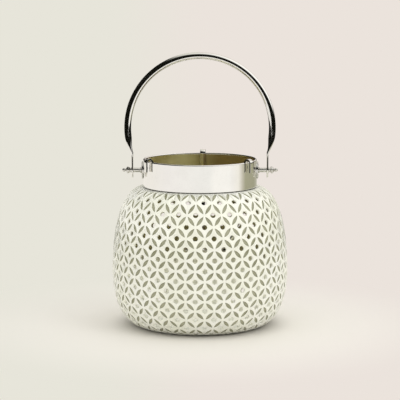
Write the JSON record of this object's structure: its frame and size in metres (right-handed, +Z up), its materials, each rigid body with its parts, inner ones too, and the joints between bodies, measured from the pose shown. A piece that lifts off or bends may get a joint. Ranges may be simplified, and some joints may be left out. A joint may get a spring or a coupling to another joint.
{
  "type": "hanging candle lantern",
  "caption": "Round pierced enamel pot with a polished neck band, a lift-out candle cup on hooked straps, and a swinging rod bail.",
  "frame": {"origin": "centre of the base, on the surface that the pot stands on", "axes": "+Z up along the axis of the pot, X along the pivots of the bail"},
  "size_m": [0.1548, 0.1548, 0.2405],
  "materials": {
    "enamel": "glossy cream vitreous enamel with olive-grey recessed marks",
    "polished_steel": "polished nickel-plated steel",
    "strap_steel": "plain bright steel strip and pressed sheet",
    "pin_steel": "turned steel"
  },
  "bodies": {
    "pot": {"pot_shell": "enamel", "base_plate": "enamel", "collar": "polished_steel", "left_escutcheon": "polished_steel", "left_boss_washer": "polished_steel", "left_spacer": "polished_steel", "left_pivot_pin": "pin_steel", "left_outer_washer": "polished_steel", "left_knob": "polished_steel", "left_pin_nut": "pin_steel", "right_escutcheon": "polished_steel", "right_boss_washer": "polished_steel", "right_spacer": "polished_steel", "right_pivot_pin": "pin_steel", "right_outer_washer": "polished_steel", "right_knob": "polished_steel", "right_pin_nut": "pin_steel"},
    "hanger": {"hanger_strap_back": "strap_steel", "hanger_strap_left": "strap_steel", "hanger_strap_right": "strap_steel", "candle_cup": "strap_steel", "cup_rivets": "pin_steel"},
    "bail": {"bail": "polished_steel"}
  },
  "joints": [
    {"name": "bail_swing", "type": "hinge", "parent": "pot", "child": "bail", "pos_m": [0, 0, 0.13695], "axis": [1, 0, 0], "range_deg": [-126, 126]},
    {"name": "hanger_lift", "type": "slide", "parent": "pot", "child": "hanger", "axis": [0, 0, 1], "range_m": [0, 0.115]}
  ]
}
